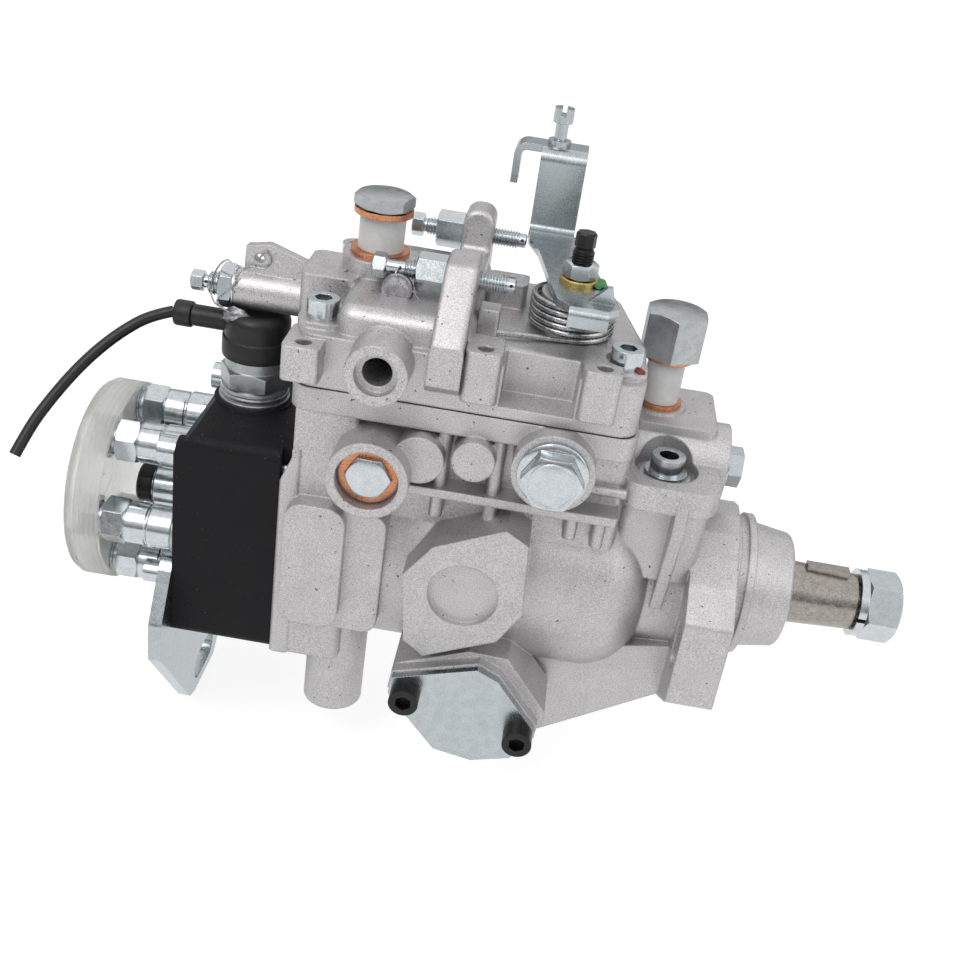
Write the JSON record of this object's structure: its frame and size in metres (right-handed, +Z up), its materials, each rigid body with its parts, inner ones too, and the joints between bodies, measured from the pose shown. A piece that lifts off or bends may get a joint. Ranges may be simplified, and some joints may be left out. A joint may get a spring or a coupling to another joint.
{
  "type": "diesel fuel injection pump",
  "caption": "Distributor-type diesel injection pump with governor cover, throttle lever, stop solenoid, threaded outlets under a cap, and a flanged tapered drive end.",
  "frame": {"origin": "centre of the mounting flange's front face, on the drive shaft's axis", "axes": "+X along the drive shaft, out of the driven end; +Z up, towards the cover; -Y towards the plugs and the near timing cover"},
  "size_m": [0.3048, 0.123, 0.2295],
  "materials": {
    "cast_aluminium": "as-cast",
    "black_head": "matte",
    "zinc_steel": "bright zinc",
    "ground_steel": "ground",
    "black_oxide": "black oxide",
    "copper": "plain",
    "white_plastic": "frosted",
    "clear_plastic": "frosted",
    "black_rubber": "matte",
    "gasket_paper": "matte",
    "bronze": "plain",
    "spring_steel": "wire"
  },
  "bodies": {
    "housing": {"pump_housing": "cast_aluminium", "governor_cover": "cast_aluminium", "cover_gasket": "gasket_paper", "cover_screws": "zinc_steel", "shaft_bush": "bronze", "shaft_seal": "black_rubber", "vane_ring": "ground_steel", "governor_shaft": "zinc_steel", "distributor_head": "black_head", "delivery_valve_holders": "zinc_steel", "valve_springs": "spring_steel", "sealing_washers": "copper", "plastic_sleeves": "white_plastic", "return_bolt": "zinc_steel", "inlet_bolt": "zinc_steel", "plugs": "zinc_steel", "timing_spring": "spring_steel", "timing_covers": "zinc_steel", "socket_screws": "black_oxide", "adjusting_screws": "zinc_steel", "shutoff_solenoid": "zinc_steel", "rubber_boot": "black_rubber", "solenoid_wire": "black_rubber", "regulating_valve": "zinc_steel", "rear_bracket": "zinc_steel", "plunger_springs": "spring_steel", "governor_spring": "spring_steel", "return_spring": "spring_steel"},
    "shaft_line": {"drive_shaft": "ground_steel", "woodruff_key": "ground_steel", "spring_washer": "zinc_steel", "shaft_nut": "zinc_steel", "drive_gear": "ground_steel", "vane_rotor": "ground_steel", "vanes": "ground_steel", "cross_disc": "ground_steel", "cam_plate": "ground_steel", "plunger": "ground_steel"},
    "governor_cage": {"governor_holder": "ground_steel"},
    "slider": {"governor_sleeve": "ground_steel"},
    "lever_system": {"governor_lever": "ground_steel"},
    "quantity_sleeve": {"control_sleeve": "ground_steel"},
    "speed_control": {"speed_lever": "zinc_steel", "control_shaft": "black_oxide", "lever_nut": "zinc_steel"},
    "advance_piston": {"timing_piston": "ground_steel"},
    "advance_ring": {"roller_ring": "ground_steel", "rollers": "ground_steel"},
    "armature": {"solenoid_armature": "ground_steel"},
    "cap": {"protective_cap": "clear_plastic"},
    "weight_1": {"flyweight_1": "ground_steel"},
    "weight_2": {"flyweight_2": "ground_steel"},
    "weight_3": {"flyweight_3": "ground_steel"},
    "weight_4": {"flyweight_4": "ground_steel"},
    "valve_1": {"delivery_valve_1": "ground_steel"},
    "valve_2": {"delivery_valve_2": "ground_steel"},
    "valve_3": {"delivery_valve_3": "ground_steel"},
    "valve_4": {"delivery_valve_4": "ground_steel"},
    "valve_5": {"delivery_valve_5": "ground_steel"},
    "valve_6": {"delivery_valve_6": "ground_steel"}
  },
  "joints": [
    {"name": "shaft_spin", "type": "hinge", "parent": "housing", "child": "shaft_line", "pos_m": [0, 0, 0], "axis": [1, 0, 0], "continuous": true},
    {"name": "governor_spin", "type": "hinge", "parent": "housing", "child": "governor_cage", "pos_m": [-0.052, 0, 0.045], "axis": [1, 0, 0], "continuous": true},
    {"name": "governor_slide", "type": "slide", "parent": "housing", "child": "slider", "axis": [-1, 0, 0], "range_m": [0, 0.002], "stiffness_N_per_m": 600, "springref_m": -0.002},
    {"name": "governor_arm", "type": "hinge", "parent": "housing", "child": "lever_system", "pos_m": [-0.109, 0, 0.03], "axis": [0, 1, 0], "range_deg": [-7.65, 0]},
    {"name": "quantity_slide", "type": "slide", "parent": "housing", "child": "quantity_sleeve", "axis": [1, 0, 0], "range_m": [0, 0.00273]},
    {"name": "speed_lever_turn", "type": "hinge", "parent": "housing", "child": "speed_control", "pos_m": [-0.069, 0, 0.098], "axis": [0, 0, 1], "range_deg": [-45, 0], "stiffness_Nm_per_rad": 0.4, "springref_deg": 20.05, "deforming": ["return_spring", "governor_spring"]},
    {"name": "advance_slide", "type": "slide", "parent": "housing", "child": "advance_piston", "axis": [0, 1, 0], "range_m": [0, 0.006], "stiffness_N_per_m": 3000, "springref_m": -0.004, "deforming": ["timing_spring"]},
    {"name": "advance_turn", "type": "hinge", "parent": "housing", "child": "advance_ring", "pos_m": [-0.082, 0, 0], "axis": [1, 0, 0], "range_deg": [0, 8.2]},
    {"name": "armature_slide", "type": "slide", "parent": "housing", "child": "armature", "axis": [0, 0, 1], "range_m": [0, 0.001], "stiffness_N_per_m": 400, "springref_m": -0.002},
    {"name": "cap_pull", "type": "slide", "parent": "housing", "child": "cap", "axis": [-1, 0, 0], "range_m": [0, 0.03]},
    {"name": "weight_swing_1", "type": "hinge", "parent": "governor_cage", "child": "weight_1", "pos_m": [-0.0635, 0.00813, 0.05313], "axis": [0, 0.7071, -0.7071], "range_deg": [0, 19.6]},
    {"name": "weight_swing_2", "type": "hinge", "parent": "governor_cage", "child": "weight_2", "pos_m": [-0.0635, -0.00813, 0.05313], "axis": [0, 0.7071, 0.7071], "range_deg": [0, 19.6]},
    {"name": "weight_swing_3", "type": "hinge", "parent": "governor_cage", "child": "weight_3", "pos_m": [-0.0635, -0.00813, 0.03687], "axis": [0, -0.7071, 0.7071], "range_deg": [0, 19.6]},
    {"name": "weight_swing_4", "type": "hinge", "parent": "governor_cage", "child": "weight_4", "pos_m": [-0.0635, 0.00813, 0.03687], "axis": [0, -0.7071, -0.7071], "range_deg": [0, 19.6]},
    {"name": "delivery_1", "type": "slide", "parent": "housing", "child": "valve_1", "axis": [-1, 0, 0], "range_m": [0, 0.002], "stiffness_N_per_m": 300, "springref_m": -0.002, "deforming": ["valve_springs"]},
    {"name": "delivery_2", "type": "slide", "parent": "housing", "child": "valve_2", "axis": [-1, 0, 0], "range_m": [0, 0.002], "stiffness_N_per_m": 300, "springref_m": -0.002},
    {"name": "delivery_3", "type": "slide", "parent": "housing", "child": "valve_3", "axis": [-1, 0, 0], "range_m": [0, 0.002], "stiffness_N_per_m": 300, "springref_m": -0.002},
    {"name": "delivery_4", "type": "slide", "parent": "housing", "child": "valve_4", "axis": [-1, 0, 0], "range_m": [0, 0.002], "stiffness_N_per_m": 300, "springref_m": -0.002},
    {"name": "delivery_5", "type": "slide", "parent": "housing", "child": "valve_5", "axis": [-1, 0, 0], "range_m": [0, 0.002], "stiffness_N_per_m": 300, "springref_m": -0.002},
    {"name": "delivery_6", "type": "slide", "parent": "housing", "child": "valve_6", "axis": [-1, 0, 0], "range_m": [0, 0.002], "stiffness_N_per_m": 300, "springref_m": -0.002}
  ],
  "couplings": [
    {"joint": "governor_spin", "follows": "shaft_spin", "ratio": -1.5},
    {"joint": "governor_arm", "follows": "governor_slide", "rad_per_m": -66.667},
    {"joint": "quantity_slide", "follows": "governor_slide", "ratio": 1.36},
    {"joint": "advance_turn", "follows": "advance_slide", "rad_per_m": 23.585},
    {"joint": "weight_swing_1", "follows": "governor_slide", "rad_per_m": 170},
    {"joint": "weight_swing_2", "follows": "governor_slide", "rad_per_m": 170},
    {"joint": "weight_swing_3", "follows": "governor_slide", "rad_per_m": 170},
    {"joint": "weight_swing_4", "follows": "governor_slide", "rad_per_m": 170}
  ]
}
